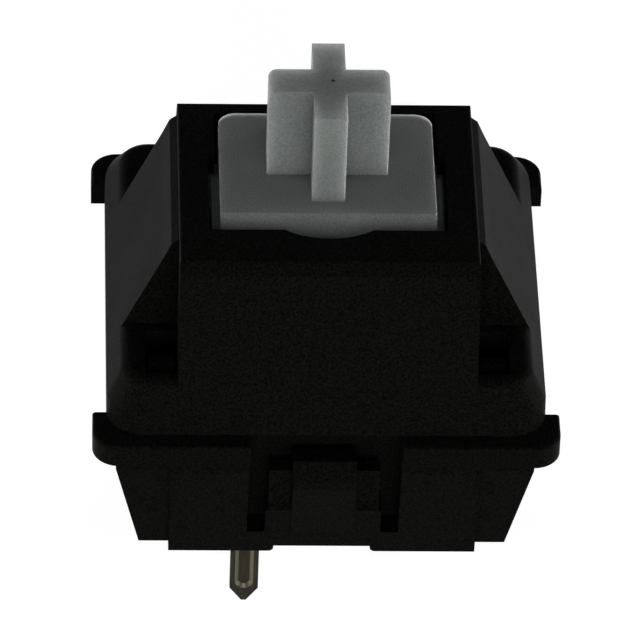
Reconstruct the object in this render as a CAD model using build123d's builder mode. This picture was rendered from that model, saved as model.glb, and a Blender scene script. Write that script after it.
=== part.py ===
from build123d import *
import os
from math import atan2, tan

# Mechanical keyboard switch, millimetres, +Z up.
# The origin is on the axis of the centre post, on the board that the feet stand on.
# The keycap cross points up, and the front, on the -Y side, holds the contacts.

# Sizes of the whole switch
plate_hole = 14.0        # square hole in the plate, which the lower housing fills
flange_lip = 0.8         # flange beyond the plate hole on each side
plate_seat_z = 5.0       # underside of the flange
flange_t = 0.82
cap_h = 5.78             # from the top of the flange to the top face of the cap
cross_h = 3.5            # keycap cross, above the slider's platform
platform_proud = 0.1     # platform above the top face of the cap
travel = 4.0

rim_z = plate_seat_z + flange_t
cap_top = rim_z + cap_h
platform_z = cap_top + platform_proud
body_half = plate_hole / 2
flange_half = body_half + flange_lip
flange_w = 2 * flange_half

# Upper housing, a moulded cap
cap_set_in = 0.47        # foot of the sides inside the flange's edge
cap_set_back = 0.4       # foot of the front and rear inside the flange's edge
cap_bend_z = 6.4         # the sides stand upright up to here
deck_half = 4.97         # half width of the top face and of the front panel
deck_front = 5.05        # front and rear edges of the top face
deck_back = 3.3
deck_bevel = 0.36        # bevel between the top face and the front panel
deck_band = 0.35         # upright band below the top face's side edges
shoulder_w = 0.5         # rounded shoulder outside that band
shoulder_h = 0.8
deck_round = 0.1         # moulded rounding of the top face's outer edges
cap_wall = 0.85
cap_corner_r = 1.2
notch_z = 7.6            # floor of the four corner notches
notch_front = 3.5        # inner ends of the notches
notch_back = 3.1
notch_floor_t = 1.0
notch_round = 0.4        # outer edges of the notch floors
skirt_gap = 0.05         # skirt above the plate, and beside the lower housing
skirt_t = 0.8

# Stem opening in the cap
slide_gap = 0.1          # running clearance of the slider on each side
opening_gap = 0.15
bulge_r = 2.55           # round boss on the slider's front
bulge_y = -1.15
groove_room = 0.5        # ends of the side grooves beyond the slider's ribs

# Slider
platform_w = 7.2
platform_d = 5.3
platform_t = 1.5
platform_r = 0.6         # rear corners
apron_y = 3.25           # front of the sloped apron
apron_drop = 0.5
cross_w = 4.05
cross_t_x = 1.25         # thickness of the bar that runs along X
cross_t_y = 1.1          # thickness of the bar that runs along Y
cross_round = 0.3        # top corners of the cross, at the ends of the bar along X
barrel_r = 3.1
barrel_bore_r = 2.3
barrel_floor_gap = 0.2   # below the barrel at full travel
rail_half = 4.05         # side rails, held under the cap
rail_w = 2.4
rail_in = 2.6
stop_gap = 0.08          # above the rails at rest
rib_half = 3.87          # side ribs that show in the opening
rib_front = 2.8
rib_back = 0.0
rib_drop = 0.62          # rib tops below the platform
rib_foot_z = 9.3
pole_r = 1.0
pole_reach = 3.0         # how far the pole sits in the tower at rest
leg_in = 1.1             # inner and outer faces of the two cam legs
leg_out = 1.9
leg_root_t = 1.6
leg_foot_t = 1.2

# Lower housing
base_wall = 0.85
floor_t = 0.9
taper_z = 4.0            # the walls stand upright from here up
taper_side = 0.88        # how far the sides lean in at the foot
taper_front = 0.62
corner_w = 1.82          # corner panels beside the front and rear pads
corner_back = 0.2        # corner panels behind the pads
corner_lift = 0.3        # corner panels above the board
relief_half = 1.63       # raised middle of the pads
relief_h = 0.27
relief_in = 1.2
pad_round = 0.18         # lower corners of the pads
tab_l = 1.8              # the flange's corner tabs, along the sides
flange_r = 0.9
flange_round = 0.12      # rounding of the flange's top edge
tower_r = 1.65
tower_h = 4.1
bore_r = 1.1
post_r = 1.99
post_l = 3.0
post_end_t = 0.6
post_chamfer = 0.3
guide_w = 0.8            # guide ribs beside the slider's rails
guide_in = 3.45

# Plate latches on the front and rear walls
tongue_half = 1.86
tongue_foot_half = 1.95  # foot of the tongue, below its ledges
tongue_slot = 0.6
tongue_root_z = 1.0
tongue_top_z = 3.7
tongue_t = 0.55
tongue_set_back = 0.52   # face of the tongue behind the wall's face
tongue_gap = 0.3         # room to flex behind the tongue
latch_wall = 0.4         # wall behind the tongue
ledge_z = 2.1
hook_half = 1.07
hook_top_z = 4.2
hook_bevel = 0.4
hook_nose = 0.12         # nose beyond the plate hole
hook_nose_z = 3.5
hook_round = 0.35

# Clips that hold the cap down, one in each corner notch
clip_set_in = 1.9        # inner side of the clip posts inside the wall's face
clip_w = 0.85
clip_t = 0.6
clip_front_in = 1.4      # outer faces of the front and rear posts inside the wall's face
clip_back_in = 2.3
slot_start = 0.4         # slots for the clips, from the notch's inner end
clip_gap = 0.12
clip_root_z = 4.6
hook_reach = 0.22
hook_ledge_t = 0.45

# Contacts, sheet metal
sheet_t = 0.25
pin_w = 0.97
pin_l = 3.3
pin_point = 0.55
pin_tip_w = 0.16
groove_w = 0.62
groove_l = 2.4
groove_depth = 0.1
groove_slope = 50        # flanks of the coined groove, degrees from upright
leaf_pin_x = -2.54
leaf_pin_y = -5.08
fixed_pin_x = 3.81
fixed_pin_y = -2.54
seat_gap = 0.04          # around the pins in the floor
blade_half = 1.9         # contact leaf and the plate that it stands against
leaf_t = 0.1
leaf_gap = 0.03
leaf_root_z = 2.2
leaf_top_z = 6.35
window_w = 1.2           # window in the leaf, which makes it softer
window_h = 1.6
window_drop = 0.5
plate_top_z = 2.9
plate_step = 0.2         # shoulder of that plate over its pin
plate_step_h = 0.8
stand_y = 4.2            # middle of the fixed terminal's upright plate
stand_half = 0.85
stand_top_z = 6.2
strip_top_z = 2.6
strip_x = 4.35
bead_z = 5.7
bead_l = 0.8
bead_w = 0.34
bead_h = 0.13
bead_shut_gap = 0.02     # left between the beads at full travel
bump_z = 5.9
bump_gap = 0.04
cam_clear = 0.5          # cam legs behind the middle of the upright plate
arm_in = 1.05
arm_half_h = 0.45

# Return spring
wire_r = 0.11
coil_r = 2.0
coil_turns = 8.5
spring_end_gap = 0.02

# LED place on the rear side
led_y = 5.08
led_hole_r = 0.5
led_pitch = 2.54          # four lead holes in a row
led_pocket_half = 2.9
led_pocket_y = 3.4
led_wall = 0.65          # walls of the pocket inside the cap
led_ledge_z = 7.6

# Heights and places that follow from the sizes above
floor_z = floor_t
tower_z = floor_z + tower_h
barrel_foot = floor_z + barrel_floor_gap + travel
crown_foot = platform_z - platform_t
pole_foot = tower_z - pole_reach
roof_z = cap_top - cap_wall
cap_side = flange_half - cap_set_in
cap_front = flange_half - cap_set_back
tab_y = flange_half - tab_l
pad_half = body_half - corner_w
tongue_face = body_half - tongue_set_back
clip_in = body_half - clip_set_in
clip_front = body_half - clip_front_in
clip_back = body_half - clip_back_in
pocket_half = tongue_foot_half + tongue_slot
pocket_back = tongue_face - tongue_t - tongue_gap
leaf_face = leaf_pin_y + sheet_t / 2 + leaf_gap
leaf_front = leaf_face + leaf_t
stand_face = -stand_y - sheet_t / 2
bead_gap = (stand_face - bead_h) - (leaf_front + bead_h)
leaf_turn = atan2(bead_gap - bead_shut_gap, bead_z - leaf_root_z)
cam_slope = (bump_z - leaf_root_z) * tan(leaf_turn) / travel
cam_y = cam_clear - stand_y
bump_y = cam_y - bump_gap


def both_sides(*points):
    """Closed outline from a right half that starts at the bottom, mirrored about the vertical axis."""
    return Polyline(*points, *[(-x, y) for x, y in reversed(points)], close=True)


def cap_form(wall):
    """Outer form of the cap, or with a wall thickness the hollow inside it, open below."""
    foot = rim_z - cap_wall
    band_z = cap_top - deck_band
    notch_floor = notch_z - (notch_floor_t if wall else 0)
    with BuildPart() as form:
        with BuildSketch(Plane.XZ):
            with BuildLine():
                both_sides(
                    (cap_side, foot),
                    (cap_side, cap_bend_z),
                    (deck_half + shoulder_w, band_z - shoulder_h),
                    (deck_half + shoulder_w / 2, band_z - shoulder_h / 4),
                    (deck_half, band_z),
                    (deck_half, cap_top),
                )
            make_face()
            if wall:
                offset(amount=-wall, kind=Kind.INTERSECTION, mode=Mode.REPLACE)
        extrude(amount=flange_half, both=True)
        with BuildSketch(Plane.YZ):
            with BuildLine():
                Polyline(
                    (-cap_front, foot),
                    (-deck_front - deck_bevel, cap_top - deck_bevel),
                    (-deck_front, cap_top),
                    (deck_back, cap_top),
                    (cap_front, rim_z),
                    (cap_front, foot),
                    close=True,
                )
            make_face()
            if wall:
                offset(amount=-wall, kind=Kind.INTERSECTION, mode=Mode.REPLACE)
        extrude(amount=flange_half, both=True, mode=Mode.INTERSECT)
        with BuildSketch(Plane.XY.offset(notch_floor)):
            for side in (-1, 1):
                inner = deck_half - wall
                for edge, end in ((notch_front - wall, -flange_half), (notch_back - wall, flange_half)):
                    start = -edge if end < 0 else edge
                    with Locations((side * (inner + flange_half) / 2, (start + end) / 2)):
                        Rectangle(flange_half - inner, abs(end - start))
        extrude(amount=cap_top - notch_floor, mode=Mode.SUBTRACT)
        if not wall:
            split(bisect_by=Plane.XY.offset(rim_z), keep=Keep.TOP)
    return form.part


def clip_spot(side, end):
    """Middle of one clip post, for side -1 or 1 along X and end -1 (front) or 1 (rear) along Y."""
    face = clip_front if end < 0 else clip_back
    return side * (clip_in + clip_w / 2), end * (face - clip_t / 2)


corners = [(side, end) for side in (-1, 1) for end in (-1, 1)]

# The upper housing is a thin moulded cap. Its corner notches open over the clips,
# the slider comes through its top, and the rear slope has the place for a small LED.
cap_outside = cap_form(0)
cap_inside = cap_form(cap_wall)

with BuildPart() as upper_housing:
    add(cap_outside)
    corner_edges = (
        upper_housing.edges()
        .filter_by(lambda e: abs(e.center().X) > deck_half + shoulder_w and abs(e.center().Y) > deck_front)
        .filter_by(lambda e: rim_z < e.center().Z < notch_z and e.bounding_box().size.Z > notch_round)
    )
    fillet(corner_edges, cap_corner_r)
    notch_edges = (
        upper_housing.faces().filter_by(Axis.Z).group_by(Axis.Z)[1].edges()
        .filter_by(lambda e: Vector(e.center().X, e.center().Y).length > body_half + notch_round)
    )
    fillet(notch_edges, notch_round)
    deck_edges = upper_housing.faces().sort_by(Axis.Z)[-1].edges()
    fillet(deck_edges.filter_by(Axis.Y) + deck_edges.sort_by(Axis.Y)[-1:], deck_round)
    add(cap_inside, mode=Mode.SUBTRACT)
    # skirts on the sides, which lap over the lower housing's rim
    with BuildSketch(Plane.XY.offset(plate_seat_z + skirt_gap)):
        with Locations(((cap_side - skirt_t / 2), 0), (-(cap_side - skirt_t / 2), 0)):
            Rectangle(skirt_t, 2 * (tab_y - skirt_gap))
    extrude(amount=flange_t - skirt_gap)
    # stem opening, with its front bulge and side grooves
    with BuildSketch(Plane.XY.offset(cap_top)):
        opening_front = -apron_y - opening_gap
        opening_back = platform_d / 2 + opening_gap
        with Locations((0, (opening_front + opening_back) / 2)):
            Rectangle(platform_w + 2 * opening_gap, opening_back - opening_front)
        with Locations((0, bulge_y)):
            Circle(bulge_r + opening_gap)
        with Locations((0, (rib_back - rib_front) / 2)):
            Rectangle(2 * (rib_half + slide_gap), rib_front + rib_back + 2 * (slide_gap + groove_room))
    extrude(amount=-2 * cap_wall, mode=Mode.SUBTRACT)
    # slots for the clips, with the ledges that their hooks hold
    for side, end in corners:
        x, y = clip_spot(side, end)
        slot_out = (clip_front if end < 0 else clip_back) + clip_gap
        slot_in = (notch_front if end < 0 else notch_back) + slot_start
        with BuildSketch(Plane.XY.offset(rim_z)):
            with Locations((x, end * (slot_out + slot_in) / 2)):
                Rectangle(clip_w + 2 * clip_gap, slot_out - slot_in)
        extrude(amount=notch_z - rim_z, mode=Mode.SUBTRACT)
        with BuildSketch(Plane.XY.offset(notch_z - notch_floor_t + hook_ledge_t)):
            with Locations((x, end * (slot_out + hook_reach / 2))):
                Rectangle(clip_w + 2 * clip_gap, hook_reach + 2 * clip_gap)
        extrude(amount=cap_h, mode=Mode.SUBTRACT)
    # place for the LED on the rear slope, with walls of its own and two lead holes
    slope = (cap_front - deck_back) / cap_h
    bay_y = led_pocket_y - led_wall
    bay_z = led_ledge_z - led_wall
    with BuildSketch(Plane.YZ.offset(-led_pocket_half - led_wall)):
        with BuildLine():
            Polyline(
                (bay_y, bay_z),
                (bay_y, roof_z),
                (deck_back + slope * (cap_top - roof_z), roof_z),
                (deck_back + slope * (cap_top - bay_z), bay_z),
                close=True,
            )
        make_face()
    extrude(amount=2 * (led_pocket_half + led_wall))
    with BuildSketch(Plane.XY.offset(led_ledge_z)):
        with Locations((0, (led_pocket_y + cap_front) / 2)):
            Rectangle(2 * led_pocket_half, cap_front - led_pocket_y)
    extrude(amount=cap_h, mode=Mode.SUBTRACT)
    with BuildSketch(Plane.XY.offset(led_ledge_z)):
        with Locations((-led_pitch / 2, led_y), (led_pitch / 2, led_y)):
            Circle(led_hole_r)
    extrude(amount=-2 * led_wall, mode=Mode.SUBTRACT)
upper_housing.part.label = "upper_housing"


def base_form(wall):
    """Outer form of the lower housing's body, or the hollow inside it, open above."""
    top = rim_z + wall
    foot = floor_z - wall if wall else 0
    with BuildPart() as form:
        with BuildSketch(Plane.XZ):
            with BuildLine():
                lean = taper_side * (1 - foot / taper_z)
                both_sides((body_half - lean, foot), (body_half, taper_z), (body_half, top))
            make_face()
            if wall:
                offset(amount=-wall, kind=Kind.INTERSECTION, mode=Mode.REPLACE)
        extrude(amount=flange_half, both=True)
        with BuildSketch(Plane.YZ):
            with BuildLine():
                lean = taper_front * (1 - foot / taper_z)
                both_sides((body_half - lean, foot), (body_half, taper_z), (body_half, top))
            make_face()
            if wall:
                offset(amount=-wall, kind=Kind.INTERSECTION, mode=Mode.REPLACE)
        extrude(amount=flange_half, both=True, mode=Mode.INTERSECT)
    return form.part


base_outside = base_form(0)
base_inside = base_form(base_wall)

with BuildPart() as lower_housing:
    add(base_outside)
    # corner panels stand behind the front and rear pads, and end above the board
    for side, end in corners:
        corner_x = side * (pad_half + flange_half) / 2
        with BuildSketch(Plane.YZ.offset(side * pad_half)):
            foot_y = body_half - taper_front - corner_back
            top_y = body_half - corner_back
            with BuildLine():
                Polyline(
                    (end * foot_y, 0),
                    (end * top_y, taper_z),
                    (end * top_y, plate_seat_z),
                    (end * flange_half, plate_seat_z),
                    (end * flange_half, 0),
                    close=True,
                )
            make_face()
        extrude(amount=side * (flange_half - pad_half), mode=Mode.SUBTRACT)
        with BuildSketch():
            with Locations((corner_x, 0)):
                Rectangle(flange_half - pad_half, flange_w)
        extrude(amount=corner_lift, mode=Mode.SUBTRACT)
    add(base_inside, mode=Mode.SUBTRACT)
    # flange, whole at the corners, with gaps for the latches and the cap's skirts
    with BuildSketch(Plane.XY.offset(plate_seat_z)):
        RectangleRounded(flange_w, flange_w, flange_r)
        Rectangle(2 * (body_half - base_wall), 2 * (body_half - base_wall), mode=Mode.SUBTRACT)
        rim_half = cap_side - skirt_t - skirt_gap
        for side in (-1, 1):
            with Locations((side * (rim_half + flange_half) / 2, 0)):
                Rectangle(flange_half - rim_half, 2 * tab_y, mode=Mode.SUBTRACT)
    extrude(amount=flange_t)
    with BuildSketch(Plane.XY.offset(plate_seat_z)):
        for side in (-1, 1):
            with Locations((side * (rim_half + flange_half) / 2, 0)):
                Rectangle(flange_half - rim_half, 2 * tab_y)
    extrude(amount=flange_t, mode=Mode.SUBTRACT)
    flange_edges = (
        lower_housing.faces().filter_by(Axis.Z).sort_by(Axis.Z)[-1].edges()
        .filter_by(lambda e: max(abs(e.center().X), abs(e.center().Y)) > body_half + flange_lip / 2)
    )
    fillet(flange_edges, flange_round)
    # raised middle of the pads
    with BuildSketch():
        for end in (-1, 1):
            with Locations((0, end * body_half)):
                Rectangle(2 * relief_half, 2 * relief_in)
    extrude(amount=relief_h, mode=Mode.SUBTRACT)
    pad_edges = (
        lower_housing.faces().sort_by(Axis.Z)[0].edges().filter_by(Axis.Y)
        .filter_by(lambda e: e.length < body_half)
    )
    fillet(pad_edges, pad_round)
    # walls behind the latch pockets
    with BuildSketch(Plane.XY.offset(floor_z)):
        for end in (-1, 1):
            with Locations((0, end * (pocket_back - latch_wall / 2))):
                Rectangle(2 * (pocket_half + base_wall), latch_wall)
    extrude(amount=rim_z - floor_z)
    # latch pockets, then the tongues with their hooks
    for end in (-1, 1):
        with BuildSketch(Plane.XY.offset(tongue_root_z)):
            with Locations((0, end * (pocket_back + flange_half) / 2)):
                Rectangle(2 * pocket_half, flange_half - pocket_back)
        extrude(amount=rim_z, mode=Mode.SUBTRACT)
        root_y = body_half - taper_front * (1 - tongue_root_z / taper_z)
        ledge_y = body_half - taper_front * (1 - ledge_z / taper_z)
        back_y = tongue_face - tongue_t
        with BuildSketch(Plane.YZ.offset(-tongue_foot_half)):
            with BuildLine():
                Polyline(
                    (end * root_y, tongue_root_z),
                    (end * ledge_y, ledge_z),
                    (end * back_y, ledge_z),
                    (end * back_y, tongue_root_z),
                    close=True,
                )
            make_face()
        extrude(amount=2 * tongue_foot_half)
        with BuildSketch(Plane.YZ.offset(-tongue_half)):
            with BuildLine():
                Polyline(
                    (end * ledge_y, ledge_z),
                    (end * tongue_face, ledge_z + ledge_y - tongue_face),
                    (end * tongue_face, tongue_top_z),
                    (end * back_y, tongue_top_z),
                    (end * back_y, ledge_z),
                    close=True,
                )
            make_face()
        extrude(amount=2 * tongue_half)
        with BuildSketch(Plane.YZ.offset(-hook_half)):
            with BuildLine():
                Polyline(
                    (end * root_y, tongue_root_z),
                    (end * (body_half + hook_nose), hook_nose_z),
                    (end * (body_half - hook_bevel), hook_top_z),
                    (end * back_y, hook_top_z),
                    (end * back_y, tongue_root_z),
                    close=True,
                )
            make_face()
        extrude(amount=2 * hook_half)
    nose_edges = (
        lower_housing.edges().filter_by(Axis.X)
        .filter_by(lambda e: ledge_z < e.center().Z < hook_top_z and abs(e.center().Y) > body_half)
    )
    fillet(nose_edges, hook_round)
    # tower that carries the spring and guides the pole, over the centre post
    with BuildSketch(Plane.XY.offset(floor_z)):
        Circle(tower_r)
    extrude(amount=tower_h)
    with BuildSketch():
        Circle(post_r)
    extrude(amount=-post_l)
    chamfer(lower_housing.faces().sort_by(Axis.Z)[0].edges(), post_chamfer)
    with BuildSketch(Plane.XY.offset(post_end_t - post_l)):
        Circle(bore_r)
    extrude(amount=post_l - post_end_t + tower_z, mode=Mode.SUBTRACT)
    # guide ribs on the side walls, one pair for each of the slider's rails
    guide_y = rail_w / 2 + slide_gap + guide_w / 2
    with BuildSketch(Plane.XY.offset(floor_z)):
        for side in (-1, 1):
            guide_out = body_half - base_wall
            with Locations(
                (side * (guide_in + guide_out) / 2, guide_y),
                (side * (guide_in + guide_out) / 2, -guide_y),
            ):
                Rectangle(guide_out - guide_in, guide_w)
    extrude(amount=plate_seat_z - floor_z)
    # clips that hold the cap
    for side, end in corners:
        x, y = clip_spot(side, end)
        face = clip_front if end < 0 else clip_back
        catch_z = notch_z - notch_floor_t + hook_ledge_t + clip_gap / 2
        wall_in = body_half - base_wall
        with BuildSketch(Plane.XY.offset(clip_root_z)):
            with Locations((side * (clip_in + wall_in) / 2, end * (face - clip_t + wall_in) / 2)):
                Rectangle(wall_in - clip_in, wall_in - face + clip_t)
        extrude(amount=plate_seat_z - clip_root_z)
        with BuildSketch(Plane.YZ.offset(x - clip_w / 2)):
            with BuildLine():
                Polyline(
                    (end * (face - clip_t), clip_root_z),
                    (end * face, clip_root_z),
                    (end * face, catch_z),
                    (end * (face + hook_reach), catch_z),
                    (end * (face - clip_t / 3), notch_z - clip_gap),
                    (end * (face - clip_t), notch_z - clip_gap),
                    close=True,
                )
            make_face()
        extrude(amount=clip_w)
    # slots for the pins and holes for the LED's leads
    with BuildSketch():
        with Locations((leaf_pin_x, leaf_pin_y), (fixed_pin_x, fixed_pin_y)):
            Rectangle(pin_w + 2 * seat_gap, sheet_t + 2 * seat_gap)
    extrude(amount=floor_z, mode=Mode.SUBTRACT)
    with BuildSketch():
        with Locations((0, led_y)):
            with GridLocations(led_pitch, 0, 4, 1):
                Circle(led_hole_r)
    extrude(amount=rim_z, mode=Mode.SUBTRACT)
lower_housing.part.label = "lower_housing"

# The slider is one moulding: cross, platform, barrel around the spring,
# guide pole, side rails and the two cam legs that press the contact leaf.
with BuildPart() as slider:
    with BuildSketch(Plane.YZ.offset(-platform_w / 2)):
        with BuildLine():
            Polyline(
                (-platform_d / 2, platform_z),
                (-apron_y, platform_z - apron_drop),
                (-apron_y, crown_foot),
                (platform_d / 2, crown_foot),
                (platform_d / 2, platform_z),
                close=True,
            )
        make_face()
    extrude(amount=platform_w)
    rear_edges = slider.edges().filter_by(Axis.Z).group_by(Axis.Y)[-1]
    fillet(rear_edges, platform_r)
    with BuildSketch(Plane.XY.offset(crown_foot)):
        with Locations((0, bulge_y)):
            Circle(bulge_r)
    extrude(amount=platform_t - rib_drop)
    with BuildSketch(Plane.XY.offset(barrel_foot)):
        Circle(barrel_r)
        with Locations((0, platform_d / 2 + barrel_r)):
            Rectangle(2 * barrel_r, 2 * barrel_r, mode=Mode.SUBTRACT)
    extrude(amount=crown_foot - barrel_foot)
    with BuildSketch(Plane.XY.offset(barrel_foot)):
        for side in (-1, 1):
            with Locations((side * (rail_in + rail_half) / 2, 0)):
                Rectangle(rail_half - rail_in, rail_w)
    extrude(amount=roof_z - stop_gap - barrel_foot)
    with BuildSketch(Plane.XY.offset(rib_foot_z)):
        with Locations((0, (rib_back - rib_front) / 2)):
            Rectangle(2 * rib_half, rib_front - rib_back)
    extrude(amount=platform_z - rib_drop - rib_foot_z)
    with BuildSketch(Plane.XY.offset(barrel_foot)):
        Circle(barrel_bore_r)
    extrude(amount=crown_foot - barrel_foot, mode=Mode.SUBTRACT)
    with BuildSketch(Plane.XY.offset(pole_foot)):
        Circle(pole_r)
    extrude(amount=crown_foot - pole_foot)
    # cam legs, which lean so that the leaf swings in as the slider goes down
    for side in (-1, 1):
        with BuildSketch(Plane.YZ.offset(side * leg_in)):
            leg_foot = bump_z - arm_half_h
            high = crown_foot - bump_z
            with BuildLine():
                Polyline(
                    (cam_y, leg_foot),
                    (cam_y, bump_z),
                    (cam_y + cam_slope * high, crown_foot),
                    (cam_y + cam_slope * high + leg_root_t, crown_foot),
                    (cam_y + leg_foot_t, leg_foot),
                    close=True,
                )
            make_face()
        extrude(amount=side * (leg_out - leg_in))
    # keycap cross
    with BuildSketch(Plane.XY.offset(platform_z)):
        Rectangle(cross_w, cross_t_x)
        Rectangle(cross_t_y, cross_w)
    extrude(amount=cross_h)
    cross_edges = slider.faces().sort_by(Axis.Z)[-1].edges().group_by(Axis.X)
    fillet(cross_edges[0] + cross_edges[-1], cross_round)
slider.part.label = "slider"

# The return spring is a coil of round wire between the housing floor and the slider.
spring_foot = floor_z + wire_r + spring_end_gap
spring_height = crown_foot - wire_r - spring_end_gap - spring_foot
with BuildPart() as return_spring:
    with BuildLine() as coil_line:
        Helix(
            pitch=spring_height / coil_turns,
            height=spring_height,
            radius=coil_r,
            center=(0, 0, spring_foot),
        )
    with BuildSketch(Plane(coil_line.wires()[0] @ 0, z_dir=coil_line.wires()[0] % 0)):
        Circle(wire_r)
    sweep(is_frenet=True)
return_spring.part.label = "return_spring"


def pin_outline(x, top):
    """Pointed pin blade as a closed outline, from its tip up to a height."""
    half = pin_w / 2
    return Polyline(
        (x - half, top),
        (x - half, pin_point - pin_l),
        (x - pin_tip_w / 2, -pin_l),
        (x + pin_tip_w / 2, -pin_l),
        (x + half, pin_point - pin_l),
        (x + half, top),
        close=True,
    )


# The leaf terminal is a stamped plate with a pointed solder pin.
# The contact leaf stands against its upper part.
with BuildPart() as leaf_terminal:
    with BuildSketch(Plane.XZ.offset(-leaf_pin_y - sheet_t / 2)):
        with BuildLine():
            pin_outline(leaf_pin_x, floor_z + sheet_t)
        make_face()
        with BuildLine():
            Polyline(
                (leaf_pin_x - pin_w / 2 - plate_step, floor_z),
                (leaf_pin_x - pin_w / 2 - plate_step, floor_z + plate_step_h),
                (-blade_half, plate_top_z),
                (blade_half, plate_top_z),
                (blade_half, floor_z),
                close=True,
            )
        make_face()
    extrude(amount=sheet_t)
    with BuildSketch(Plane.XZ.offset(-leaf_pin_y + sheet_t / 2)):
        with Locations((leaf_pin_x, pin_point - pin_l + groove_l / 2)):
            SlotOverall(groove_l, groove_w, rotation=90)
    extrude(amount=-groove_depth, taper=groove_slope, mode=Mode.SUBTRACT)
leaf_terminal.part.label = "leaf_terminal"

# The fixed terminal starts at the second pin and is bent twice,
# so that its upright plate stands between the slider's legs and the leaf.
with BuildPart() as fixed_terminal:
    with BuildSketch(Plane.XZ.offset(-fixed_pin_y - sheet_t / 2)):
        with BuildLine():
            pin_outline(fixed_pin_x, strip_top_z)
        make_face()
    extrude(amount=sheet_t)
    with BuildSketch(Plane.XZ.offset(-fixed_pin_y + sheet_t / 2)):
        with Locations((fixed_pin_x, pin_point - pin_l + groove_l / 2)):
            SlotOverall(groove_l, groove_w, rotation=90)
    extrude(amount=-groove_depth, taper=groove_slope, mode=Mode.SUBTRACT)
    with BuildSketch(Plane.XY.offset(floor_z)):
        with BuildLine():
            strip_line = FilletPolyline(
                (fixed_pin_x - pin_w / 2, fixed_pin_y),
                (strip_x, fixed_pin_y),
                (strip_x, -stand_y),
                (-stand_half, -stand_y),
                radius=sheet_t,
            )
        trace(strip_line, line_width=sheet_t)
    extrude(amount=strip_top_z - floor_z)
    with BuildSketch(Plane.XY.offset(floor_z)):
        with Locations((0, -stand_y)):
            Rectangle(2 * stand_half, sheet_t)
    extrude(amount=stand_top_z - floor_z)
fixed_terminal.part.label = "fixed_terminal"

# The contact leaf is thin spring strip, with two bowed arms that the cam legs press.
with BuildPart() as contact_leaf:
    with BuildSketch(Plane.XZ.offset(-leaf_front)):
        with BuildLine():
            Polyline(
                (-blade_half, leaf_root_z),
                (-blade_half, leaf_top_z),
                (blade_half, leaf_top_z),
                (blade_half, leaf_root_z),
                close=True,
            )
        make_face()
        with Locations((0, (leaf_root_z + bump_z) / 2 - window_drop)):
            Rectangle(window_w, window_h, mode=Mode.SUBTRACT)
    extrude(amount=leaf_t)
    for side in (-1, 1):
        with BuildSketch(Plane.YZ.offset(side * arm_in)):
            with BuildLine():
                Polyline(
                    (leaf_front, bump_z - arm_half_h),
                    (bump_y, bump_z),
                    (leaf_front, bump_z + arm_half_h),
                    (leaf_front - leaf_t, bump_z + arm_half_h),
                    (leaf_front - leaf_t, bump_z + arm_half_h - leaf_t),
                    (bump_y - 1.5 * leaf_t, bump_z),
                    (leaf_front - leaf_t, bump_z - arm_half_h + leaf_t),
                    (leaf_front - leaf_t, bump_z - arm_half_h),
                    close=True,
                )
            make_face()
        extrude(amount=side * (blade_half - arm_in))
contact_leaf.part.label = "contact_leaf"


# Two short precious-metal bars cross each other where the contacts meet.
with BuildPart() as fixed_crosspoint:
    with BuildSketch(Plane((0, stand_face, bead_z - bead_l / 2), x_dir=(1, 0, 0), z_dir=(0, 0, 1))):
        with BuildLine():
            Polyline(
                (-bead_w / 2, 0),
                (-bead_w / 6, -bead_h),
                (bead_w / 6, -bead_h),
                (bead_w / 2, 0),
                close=True,
            )
        make_face()
    extrude(amount=bead_l)
fixed_crosspoint.part.label = "fixed_crosspoint"

with BuildPart() as moving_crosspoint:
    with BuildSketch(Plane((-bead_l / 2, leaf_front, bead_z), x_dir=(0, 1, 0), z_dir=(1, 0, 0))):
        with BuildLine():
            Polyline(
                (0, -bead_w / 2),
                (bead_h, -bead_w / 6),
                (bead_h, bead_w / 6),
                (0, bead_w / 2),
                close=True,
            )
        make_face()
    extrude(amount=bead_l)
moving_crosspoint.part.label = "moving_crosspoint"

os.makedirs("parts", exist_ok=True)
export_step(upper_housing.part, "parts/upper_housing.step")
export_step(lower_housing.part, "parts/lower_housing.step")
export_step(slider.part, "parts/slider.step")
export_step(return_spring.part, "parts/return_spring.step")
export_step(leaf_terminal.part, "parts/leaf_terminal.step")
export_step(fixed_terminal.part, "parts/fixed_terminal.step")
export_step(contact_leaf.part, "parts/contact_leaf.step")
export_step(fixed_crosspoint.part, "parts/fixed_crosspoint.step")
export_step(moving_crosspoint.part, "parts/moving_crosspoint.step")
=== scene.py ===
import math

import bpy
from mathutils import Matrix, Vector


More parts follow.
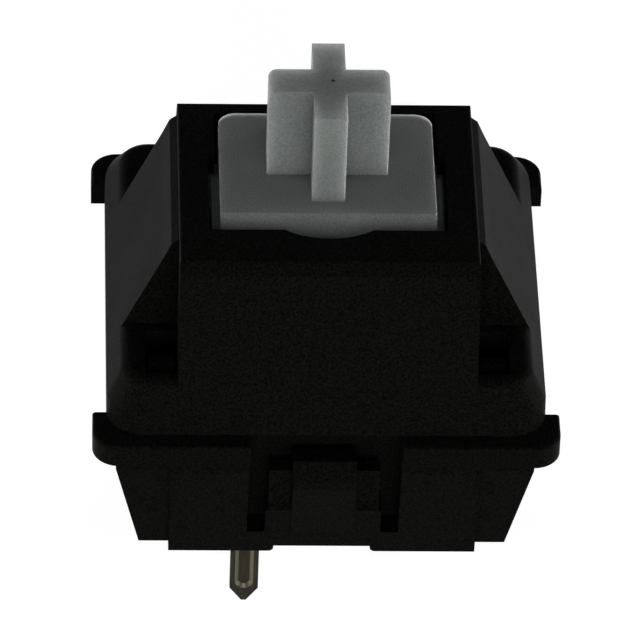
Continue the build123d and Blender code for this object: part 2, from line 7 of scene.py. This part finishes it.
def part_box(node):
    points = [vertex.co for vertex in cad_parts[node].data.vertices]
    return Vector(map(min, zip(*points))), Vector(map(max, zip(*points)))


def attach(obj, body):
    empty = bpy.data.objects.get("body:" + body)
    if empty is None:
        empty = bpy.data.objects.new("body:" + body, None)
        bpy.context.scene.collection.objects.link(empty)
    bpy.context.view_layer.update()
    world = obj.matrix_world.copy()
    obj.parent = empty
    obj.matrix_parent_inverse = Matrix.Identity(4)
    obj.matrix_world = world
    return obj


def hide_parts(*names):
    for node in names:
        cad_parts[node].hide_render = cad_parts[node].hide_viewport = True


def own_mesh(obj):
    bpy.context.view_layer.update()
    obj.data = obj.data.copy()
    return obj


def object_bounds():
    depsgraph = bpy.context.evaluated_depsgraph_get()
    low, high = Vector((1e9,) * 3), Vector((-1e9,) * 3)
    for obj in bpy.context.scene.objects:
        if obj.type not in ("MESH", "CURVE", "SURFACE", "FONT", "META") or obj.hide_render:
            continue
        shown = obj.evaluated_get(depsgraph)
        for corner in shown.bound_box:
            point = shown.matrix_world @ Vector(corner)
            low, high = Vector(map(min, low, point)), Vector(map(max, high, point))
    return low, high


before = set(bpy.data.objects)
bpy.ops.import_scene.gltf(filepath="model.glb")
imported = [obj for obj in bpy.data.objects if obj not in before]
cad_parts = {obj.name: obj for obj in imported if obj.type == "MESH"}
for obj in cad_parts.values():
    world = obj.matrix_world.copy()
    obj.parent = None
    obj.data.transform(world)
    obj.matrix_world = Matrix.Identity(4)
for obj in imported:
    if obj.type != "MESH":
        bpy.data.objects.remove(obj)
cad_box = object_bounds()

# The camera stands in front of the switch, a little to its left, and looks down at it through a
# long lens, as the photograph does. The place, tilt and lens were fitted to the switch's own edges.
MM = 0.001
view_azimuth = -2.967
view_elevation = 40.012
view_roll = math.radians(-2.246)
view_distance = 258.0 * MM
aim = Vector((-0.0184 * MM, 0.0, 4.841 * MM))
px_per_mm = 29.367
image_px = 640
sensor_mm = 36.0


def outward(azimuth, elevation):
    """Direction away from the switch, in degrees from the front towards the right, and upwards."""
    azimuth, elevation = math.radians(azimuth), math.radians(elevation)
    return Vector(
        (
            math.sin(azimuth) * math.cos(elevation),
            -math.cos(azimuth) * math.cos(elevation),
            math.sin(elevation),
        )
    )


back = outward(view_azimuth, view_elevation)
level_right = outward(view_azimuth + 90, 0)
upright = back.cross(level_right)
right = level_right * math.cos(view_roll) - upright * math.sin(view_roll)
up = level_right * math.sin(view_roll) + upright * math.cos(view_roll)
placed = Matrix((right, up, back)).transposed().to_4x4()
placed.translation = aim + view_distance * back

camera = bpy.data.objects.new("camera", bpy.data.cameras.new("camera"))
bpy.context.scene.collection.objects.link(camera)
camera.matrix_world = placed
camera.data.sensor_width = sensor_mm
camera.data.lens = px_per_mm * (view_distance / MM) * sensor_mm / image_px
camera.data.clip_start = 0.01
camera.data.clip_end = 20.0
bpy.context.scene.camera = camera
bpy.context.scene.view_settings.view_transform = "Standard"

# The switch stands on a plain white table, with the tips of its pins just touching it. The table
# is drawn white for the camera and in reflections, and keeps the soft shadow of the switch.
table_half = 3.0
table_z = cad_box[0].z
table_glow = 0.9


def linear(code):
    """Linear colour with alpha from an sRGB hex code."""
    parts = [int(code[i : i + 2], 16) / 255 for i in (1, 3, 5)]
    curve = [p / 12.92 if p <= 0.04045 else ((p + 0.055) / 1.055) ** 2.4 for p in parts]
    return (*curve, 1.0)


def fill(tree, node, inputs):
    """Fills a node's inputs with values, or with links from other nodes' sockets."""
    for key, value in inputs.items():
        if isinstance(value, bpy.types.NodeSocket):
            tree.links.new(value, node.inputs[key])
        else:
            node.inputs[key].default_value = value


def add_node(tree, kind, inputs=None, **settings):
    """Adds a node, sets its properties and fills its inputs."""
    node = tree.nodes.new(kind)
    for name, value in settings.items():
        setattr(node, name, value)
    fill(tree, node, inputs or {})
    return node


table_corners = [(x * table_half, y * table_half, table_z) for x, y in ((-1, -1), (1, -1), (1, 1), (-1, 1))]
table_mesh = bpy.data.meshes.new("table")
table_mesh.from_pydata(table_corners, [], [(0, 1, 2, 3)])
table = bpy.data.objects.new("table", table_mesh)
bpy.context.scene.collection.objects.link(table)

paint = bpy.data.materials.new("white_table_paint")
paint.use_nodes = True
tree = paint.node_tree
ray = add_node(tree, "ShaderNodeLightPath")
seen = ray.outputs["Is Camera Ray"]
for kind in ("Is Glossy Ray", "Is Transmission Ray"):
    either = add_node(tree, "ShaderNodeMath", {0: seen, 1: ray.outputs[kind]}, operation="MAXIMUM")
    seen = either.outputs["Value"]
glow = add_node(tree, "ShaderNodeMath", {0: seen, 1: table_glow}, operation="MULTIPLY")
fill(
    tree,
    tree.nodes["Principled BSDF"],
    {
        "Base Color": linear("#989898"),
        "Roughness": 0.9,
        "Specular IOR Level": 0.0,
        "Emission Color": linear("#ffffff"),
        "Emission Strength": glow.outputs["Value"],
    },
)
table_mesh.materials.append(paint)

# The light is that of a small photo tent: low white walls all round, a dim roof, soft lamps that
# stand low at both sides and in front, and a weak one above the camera.
wall_level = 2.0
roof_level = 0.05
wall_top = math.sin(math.radians(5))
roof_from = math.sin(math.radians(12))
lamp_distance = 0.5
lamp_size = 0.3
lamps = {
    # name: (azimuth from the front towards the right, elevation, watts)
    "left_lamp": (-98, 3, 2.3),
    "right_lamp": (96, 3, 2.4),
    "front_lamp": (3, 15, 1.1),
    "top_lamp": (3, 48, 0.12),
}

world = bpy.data.worlds.new("photo_tent")
bpy.context.scene.world = world
world.use_nodes = True
tree = world.node_tree
direction = add_node(tree, "ShaderNodeTexCoord").outputs["Generated"]
height = add_node(tree, "ShaderNodeSeparateXYZ", {"Vector": direction}).outputs["Z"]
level = add_node(
    tree,
    "ShaderNodeMapRange",
    {
        "Value": height,
        "From Min": wall_top,
        "From Max": roof_from,
        "To Min": wall_level,
        "To Max": roof_level,
    },
    interpolation_type="SMOOTHSTEP",
)
fill(
    tree,
    tree.nodes["Background"],
    {"Color": linear("#ffffff"), "Strength": level.outputs["Result"]},
)

for name, (azimuth, elevation, watts) in lamps.items():
    lamp = bpy.data.objects.new(name, bpy.data.lights.new(name, "AREA"))
    bpy.context.scene.collection.objects.link(lamp)
    lamp.data.shape = "DISK"
    lamp.data.size = lamp_size
    lamp.data.energy = watts
    lamp.location = aim + lamp_distance * outward(azimuth, elevation)
    lamp.rotation_euler = outward(azimuth, elevation).to_track_quat("Z", "Y").to_euler()

# The lower housing is moulded in black glass-filled nylon, in a tool that was spark-eroded to a
# fine matt grain. It holds the contacts, clips into the plate and stands on the circuit board.
noise_low, noise_high = 0.36, 0.64                      # what most of a noise pattern lies between
first_colour, second_colour, mixed_colour = 6, 7, 2     # a Mix node's sockets when it mixes colours


def dress(node, material):
    """Gives a CAD node its material."""
    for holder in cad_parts[node].material_slots:
        holder.material = material


def new_finish(name):
    """A new material with its node tree, and the place on the piece that its patterns follow."""
    material = bpy.data.materials.new(name)
    material.use_nodes = True
    place = add_node(material.node_tree, "ShaderNodeTexCoord").outputs["Object"]
    return material, material.node_tree, place


def moulded_nylon():
    """Black nylon with a spark-eroded grain: very dark, matt, with a faint sheen at grazing angles."""
    grain_size = 0.075 * MM     # the real grain is about 0.05 mm, drawn a little coarser so that it shows
    grain_depth = 0.012 * MM
    flow_size = 2.2 * MM        # faint unevenness from the way that the melt filled the tool
    material, tree, place = new_finish("spark_eroded_black_nylon")
    grain = add_node(
        tree,
        "ShaderNodeTexNoise",
        {"Vector": place, "Scale": 1 / grain_size, "Detail": 3.0, "Roughness": 0.6},
    )
    flow = add_node(
        tree,
        "ShaderNodeTexNoise",
        {"Vector": place, "Scale": 1 / flow_size, "Detail": 4.0, "Roughness": 0.5},
    )
    pits = add_node(
        tree,
        "ShaderNodeMapRange",
        {"Value": grain.outputs["Fac"], "From Min": noise_low, "From Max": noise_high},
    )
    tone = add_node(
        tree,
        "ShaderNodeMix",
        {
            "Factor": pits.outputs["Result"],
            first_colour: linear("#040403"),
            second_colour: linear("#151514"),
        },
        data_type="RGBA",
    )
    dullness = add_node(
        tree,
        "ShaderNodeMapRange",
        {"Value": flow.outputs["Fac"], "To Min": 0.4, "To Max": 0.52},
    )
    relief = add_node(
        tree,
        "ShaderNodeBump",
        {"Height": grain.outputs["Fac"], "Strength": 1.0, "Distance": grain_depth},
    )
    fill(
        tree,
        tree.nodes["Principled BSDF"],
        {
            "Base Color": tone.outputs[mixed_colour],
            "Roughness": dullness.outputs["Result"],
            "IOR": 1.53,
            "Specular IOR Level": 0.008,
            "Normal": relief.outputs["Normal"],
        },
    )
    return material


black_nylon = moulded_nylon()
dress("lower_housing", black_nylon)


# The two terminals are stamped from tin-plated bronze sheet and pressed into slots in the floor.
# Their solder pins are pointed, and a groove is coined down each one to stiffen it.
def plated_sheet():
    """Tin-plated bronze: a dull grey metal with a warm cast, streaked along the rolling direction."""
    streak_size = 0.06 * MM         # drawn coarser than the real marks, which are too fine to show
    streak_run = (1.0, 1.0, 0.08)   # draws the streaks out along the pins
    streak_depth = 0.002 * MM
    cut_edge, slope_start = 0.1, 0.3    # how squarely the cut edges face the front or rear
    slope_end, flat_face = 0.85, 0.95   # and the flat faces, with the groove's slopes in between
    material, tree, place = new_finish("tin_plated_bronze")
    stretched = add_node(tree, "ShaderNodeMapping", {"Vector": place, "Scale": streak_run})
    streaks = add_node(
        tree,
        "ShaderNodeTexNoise",
        {"Vector": stretched.outputs["Vector"], "Scale": 1 / streak_size, "Detail": 3.0},
    )
    plating = add_node(
        tree,
        "ShaderNodeMix",
        {
            "Factor": streaks.outputs["Fac"],
            first_colour: linear("#1e1d19"),
            second_colour: linear("#3b3930"),
        },
        data_type="RGBA",
    )
    # painted highlight: the slopes of the coined groove, picked out by the way they face, are drawn in a
    # lighter colour as if they caught the light
    normal = add_node(tree, "ShaderNodeNewGeometry").outputs["True Normal"]
    facing = add_node(tree, "ShaderNodeSeparateXYZ", {"Vector": normal}).outputs["Y"]
    squareness = add_node(tree, "ShaderNodeMath", {0: facing}, operation="ABSOLUTE").outputs["Value"]
    off_face = add_node(
        tree,
        "ShaderNodeMapRange",
        {"Value": squareness, "From Min": slope_end, "From Max": flat_face, "To Min": 1.0, "To Max": 0.0},
    )
    off_edge = add_node(
        tree,
        "ShaderNodeMapRange",
        {"Value": squareness, "From Min": cut_edge, "From Max": slope_start},
    )
    painted_groove_highlight = add_node(
        tree,
        "ShaderNodeMath",
        {0: off_face.outputs["Result"], 1: off_edge.outputs["Result"]},
        operation="MULTIPLY",
    )
    tone = add_node(
        tree,
        "ShaderNodeMix",
        {
            "Factor": painted_groove_highlight.outputs["Value"],
            first_colour: plating.outputs[mixed_colour],
            # the painted highlight's colour on the groove's slopes
            second_colour: linear("#6d6857"),
        },
        data_type="RGBA",
    )
    dullness = add_node(
        tree,
        "ShaderNodeMapRange",
        {"Value": streaks.outputs["Fac"], "To Min": 0.28, "To Max": 0.45},
    )
    relief = add_node(
        tree,
        "ShaderNodeBump",
        {"Height": streaks.outputs["Fac"], "Strength": 0.4, "Distance": streak_depth},
    )
    fill(
        tree,
        tree.nodes["Principled BSDF"],
        {
            "Base Color": tone.outputs[mixed_colour],
            "Metallic": 1.0,
            "Roughness": dullness.outputs["Result"],
            "Normal": relief.outputs["Normal"],
        },
    )
    return material


tin_plate = plated_sheet()
dress("leaf_terminal", tin_plate)
dress("fixed_terminal", tin_plate)


# The contact leaf is a thin strip of spring bronze, left bare, with a window punched in it. It is
# welded to the leaf terminal by its foot, and the slider's legs press its two bowed arms.
def spring_bronze():
    """Rolled phosphor bronze: a warm bright metal with fine rolling lines."""
    line_size = 0.03 * MM
    line_run = (0.05, 1.0, 1.0)     # draws the lines out across the strip
    line_depth = 0.001 * MM
    material, tree, place = new_finish("rolled_phosphor_bronze")
    stretched = add_node(tree, "ShaderNodeMapping", {"Vector": place, "Scale": line_run})
    lines = add_node(
        tree,
        "ShaderNodeTexNoise",
        {"Vector": stretched.outputs["Vector"], "Scale": 1 / line_size, "Detail": 2.0},
    )
    tone = add_node(
        tree,
        "ShaderNodeMix",
        {
            "Factor": lines.outputs["Fac"],
            first_colour: linear("#a8744a"),
            second_colour: linear("#cf9a68"),
        },
        data_type="RGBA",
    )
    relief = add_node(
        tree,
        "ShaderNodeBump",
        {"Height": lines.outputs["Fac"], "Strength": 0.3, "Distance": line_depth},
    )
    fill(
        tree,
        tree.nodes["Principled BSDF"],
        {
            "Base Color": tone.outputs[mixed_colour],
            "Metallic": 1.0,
            "Roughness": 0.3,
            "Normal": relief.outputs["Normal"],
        },
    )
    return material


dress("contact_leaf", spring_bronze())


# The two crosspoints are short bars of gold alloy, welded across each other on the fixed
# terminal and on the leaf, so that they meet at one small point.
def gold_alloy():
    """Drawn gold alloy: yellow and bright, with a slightly dulled skin."""
    cloud_size = 0.12 * MM
    material, tree, place = new_finish("drawn_gold_alloy")
    clouds = add_node(
        tree,
        "ShaderNodeTexNoise",
        {"Vector": place, "Scale": 1 / cloud_size, "Detail": 2.0},
    )
    tone = add_node(
        tree,
        "ShaderNodeMix",
        {
            "Factor": clouds.outputs["Fac"],
            first_colour: linear("#d9a83f"),
            second_colour: linear("#f0cd74"),
        },
        data_type="RGBA",
    )
    fill(
        tree,
        tree.nodes["Principled BSDF"],
        {"Base Color": tone.outputs[mixed_colour], "Metallic": 1.0, "Roughness": 0.22},
    )
    return material


gold = gold_alloy()
dress("fixed_crosspoint", gold)
dress("moving_crosspoint", gold)

# The return spring is coiled from round music wire, with a closed turn at each end. It stands
# round the lower housing's tower and pushes the slider up, and its turns close as that goes down.
wire_d = 0.22 * MM
coil_d = 4.0 * MM
spring_turns = 10.5
closed_turns = 1.0
points_per_turn = 28
wire_sides = 10
spring_low, spring_high = (corner.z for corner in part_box("return_spring"))
spring_length = spring_high - spring_low


def music_wire():
    """Drawn music wire: bright grey steel with fine marks along the wire."""
    mark_size = 0.03 * MM
    mark_run = (0.15, 0.15, 1.0)    # draws the marks out along the turns
    material, tree, place = new_finish("drawn_music_wire")
    stretched = add_node(tree, "ShaderNodeMapping", {"Vector": place, "Scale": mark_run})
    marks = add_node(
        tree,
        "ShaderNodeTexNoise",
        {"Vector": stretched.outputs["Vector"], "Scale": 1 / mark_size, "Detail": 2.0},
    )
    tone = add_node(
        tree,
        "ShaderNodeMix",
        {
            "Factor": marks.outputs["Fac"],
            first_colour: linear("#8f9092"),
            second_colour: linear("#b9babb"),
        },
        data_type="RGBA",
    )
    fill(
        tree,
        tree.nodes["Principled BSDF"],
        {"Base Color": tone.outputs[mixed_colour], "Metallic": 1.0, "Roughness": 0.25},
    )
    return material


def coil_winder(sizes, material):
    """Geometry Nodes tree that winds a wire into a coil with closed turns at both ends."""
    tree = bpy.data.node_groups.new("wound_coil", "GeometryNodeTree")
    for name in sizes:
        tree.interface.new_socket(name, in_out="INPUT", socket_type="NodeSocketFloat")
    tree.interface.new_socket("Geometry", in_out="OUTPUT", socket_type="NodeSocketGeometry")
    given = tree.nodes.new("NodeGroupInput").outputs
    along = add_node(tree, "GeometryNodeSplineParameter").outputs["Factor"]
    known = {"Along": along} | {name: given[name] for name in sizes}
    for result, operation, *terms in (
        ("Turned", "MULTIPLY", "Along", "Turns"),
        ("Angle", "MULTIPLY", "Turned", math.tau),
        ("Cosine", "COSINE", "Angle"),
        ("Sine", "SINE", "Angle"),
        ("Coil Radius", "MULTIPLY", "Coil Diameter", 0.5),
        ("X", "MULTIPLY", "Coil Radius", "Cosine"),
        ("Y", "MULTIPLY", "Coil Radius", "Sine"),
        ("Wire Radius", "MULTIPLY", "Wire Diameter", 0.5),
        ("First Centre", "ADD", "Foot", "Wire Radius"),
        ("Centre Length", "SUBTRACT", "Length", "Wire Diameter"),
        ("Closed Length", "MULTIPLY", "Closed Turns", "Wire Diameter"),
        ("Both Closed", "MULTIPLY", "Closed Length", 2.0),
        ("Open Length", "SUBTRACT", "Centre Length", "Both Closed"),
        ("Open From", "DIVIDE", "Closed Turns", "Turns"),
        ("Open To", "SUBTRACT", 1.0, "Open From"),
    ):
        inputs = {index: known.get(term, term) for index, term in enumerate(terms)}
        known[result] = add_node(tree, "ShaderNodeMath", inputs, operation=operation).outputs["Value"]
    # the wire climbs by its own thickness over each closed turn, and evenly over the turns between
    height = known["First Centre"]
    for start, end, rise in (
        (0.0, known["Open From"], known["Closed Length"]),
        (known["Open From"], known["Open To"], known["Open Length"]),
        (known["Open To"], 1.0, known["Closed Length"]),
    ):
        climb = add_node(
            tree,
            "ShaderNodeMapRange",
            {"Value": along, "From Min": start, "From Max": end, "To Max": rise},
        )
        reached = add_node(tree, "ShaderNodeMath", {0: height, 1: climb.outputs["Result"]}, operation="ADD")
        height = reached.outputs["Value"]
    line = add_node(tree, "GeometryNodeCurvePrimitiveLine")
    wire = add_node(
        tree,
        "GeometryNodeResampleCurve",
        {"Curve": line.outputs["Curve"], "Count": int(spring_turns * points_per_turn)},
    )
    spot = add_node(tree, "ShaderNodeCombineXYZ", {"X": known["X"], "Y": known["Y"], "Z": height})
    wound = add_node(
        tree,
        "GeometryNodeSetPosition",
        {"Geometry": wire.outputs["Curve"], "Position": spot.outputs["Vector"]},
    )
    section = add_node(
        tree,
        "GeometryNodeCurvePrimitiveCircle",
        {"Resolution": wire_sides, "Radius": known["Wire Radius"]},
    )
    solid = add_node(
        tree,
        "GeometryNodeCurveToMesh",
        {"Curve": wound.outputs["Geometry"], "Profile Curve": section.outputs["Curve"], "Fill Caps": True},
    )
    real = add_node(tree, "GeometryNodeRealizeInstances", {"Geometry": solid.outputs["Mesh"]})
    coloured = add_node(
        tree,
        "GeometryNodeSetMaterial",
        {"Geometry": real.outputs["Geometry"], "Material": material},
    )
    add_node(tree, "NodeGroupOutput", {"Geometry": coloured.outputs["Geometry"]})
    return tree


coil_sizes = {
    "Wire Diameter": wire_d,
    "Coil Diameter": coil_d,
    "Turns": spring_turns,
    "Closed Turns": closed_turns,
    "Foot": spring_low,
    "Length": spring_length,
}
winder = bpy.data.objects.new("spring_winder", bpy.data.meshes.new("spring_winder"))
bpy.context.scene.collection.objects.link(winder)
coil = winder.modifiers.new("coil", "NODES")
coil.node_group = coil_winder(coil_sizes, music_wire())
for socket in coil.node_group.interface.items_tree:
    if socket.in_out == "INPUT":
        coil[socket.identifier] = coil_sizes[socket.name]
bpy.context.view_layer.update()
evaluated = winder.evaluated_get(bpy.context.evaluated_depsgraph_get())
spring_mesh = bpy.data.meshes.new_from_object(evaluated)
spring_mesh.name = "coil_spring"
for face in spring_mesh.polygons:
    face.use_smooth = True
bpy.data.objects.remove(winder)
spring = bpy.data.objects.new("coil_spring", spring_mesh)
bpy.context.scene.collection.objects.link(spring)
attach(spring, "housing")
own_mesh(spring)
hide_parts("return_spring")


# The slider is moulded in grey acetal, a waxy, slightly translucent plastic. The keycap's socket
# presses onto its cross, which takes light from all sides and looks paler than its platform.
def grey_acetal():
    """Grey acetal: light goes some millimetres into it, so the cross looks even and its edges soft."""
    grain_size = 0.06 * MM      # the real grain is finer, drawn coarser so that it shows
    grain_depth = 0.003 * MM
    cloud_size = 1.5 * MM
    light_reach = 5.0           # how far light goes into it, in millimetres
    speck_place = (0.11 * MM, 0.02 * MM, 15.2 * MM)     # a speck of dirt on the cross's top face
    speck_radius = 0.085 * MM
    material, tree, place = new_finish("grey_acetal")
    grain = add_node(
        tree,
        "ShaderNodeTexNoise",
        {"Vector": place, "Scale": 1 / grain_size, "Detail": 2.0},
    )
    clouds = add_node(
        tree,
        "ShaderNodeTexNoise",
        {"Vector": place, "Scale": 1 / cloud_size, "Detail": 3.0},
    )
    pits = add_node(
        tree,
        "ShaderNodeMapRange",
        {"Value": grain.outputs["Fac"], "From Min": noise_low, "From Max": noise_high},
    )
    both = add_node(
        tree,
        "ShaderNodeMath",
        {0: pits.outputs["Result"], 1: clouds.outputs["Fac"]},
        operation="ADD",
    )
    mottle = add_node(tree, "ShaderNodeMath", {0: both.outputs["Value"], 1: 0.5}, operation="MULTIPLY")
    clean = add_node(
        tree,
        "ShaderNodeMix",
        {
            "Factor": mottle.outputs["Value"],
            first_colour: linear("#5f6361"),
            second_colour: linear("#828683"),
        },
        data_type="RGBA",
    )
    from_speck = add_node(tree, "ShaderNodeVectorMath", {0: place, 1: speck_place}, operation="DISTANCE")
    speck = add_node(
        tree,
        "ShaderNodeMapRange",
        {
            "Value": from_speck.outputs["Value"],
            "From Min": speck_radius / 2,
            "From Max": speck_radius,
            "To Min": 1.0,
            "To Max": 0.0,
        },
    )
    tone = add_node(
        tree,
        "ShaderNodeMix",
        {
            "Factor": speck.outputs["Result"],
            first_colour: clean.outputs[mixed_colour],
            second_colour: linear("#141310"),
        },
        data_type="RGBA",
    )
    relief = add_node(
        tree,
        "ShaderNodeBump",
        {"Height": grain.outputs["Fac"], "Strength": 0.6, "Distance": grain_depth},
    )
    fill(
        tree,
        tree.nodes["Principled BSDF"],
        {
            "Base Color": tone.outputs[mixed_colour],
            "Roughness": 0.42,
            "IOR": 1.48,
            "Specular IOR Level": 0.15,
            "Subsurface Weight": 0.7,
            "Subsurface Radius": (light_reach, light_reach, light_reach),
            "Subsurface Scale": MM,
            "Normal": relief.outputs["Normal"],
        },
    )
    return material


dress("slider", grey_acetal())

# The upper housing is moulded in the same black nylon as the lower one. Its corner notches take
# the clips of the lower housing, and its rear slope has the place for a small lamp.
dress("upper_housing", black_nylon)
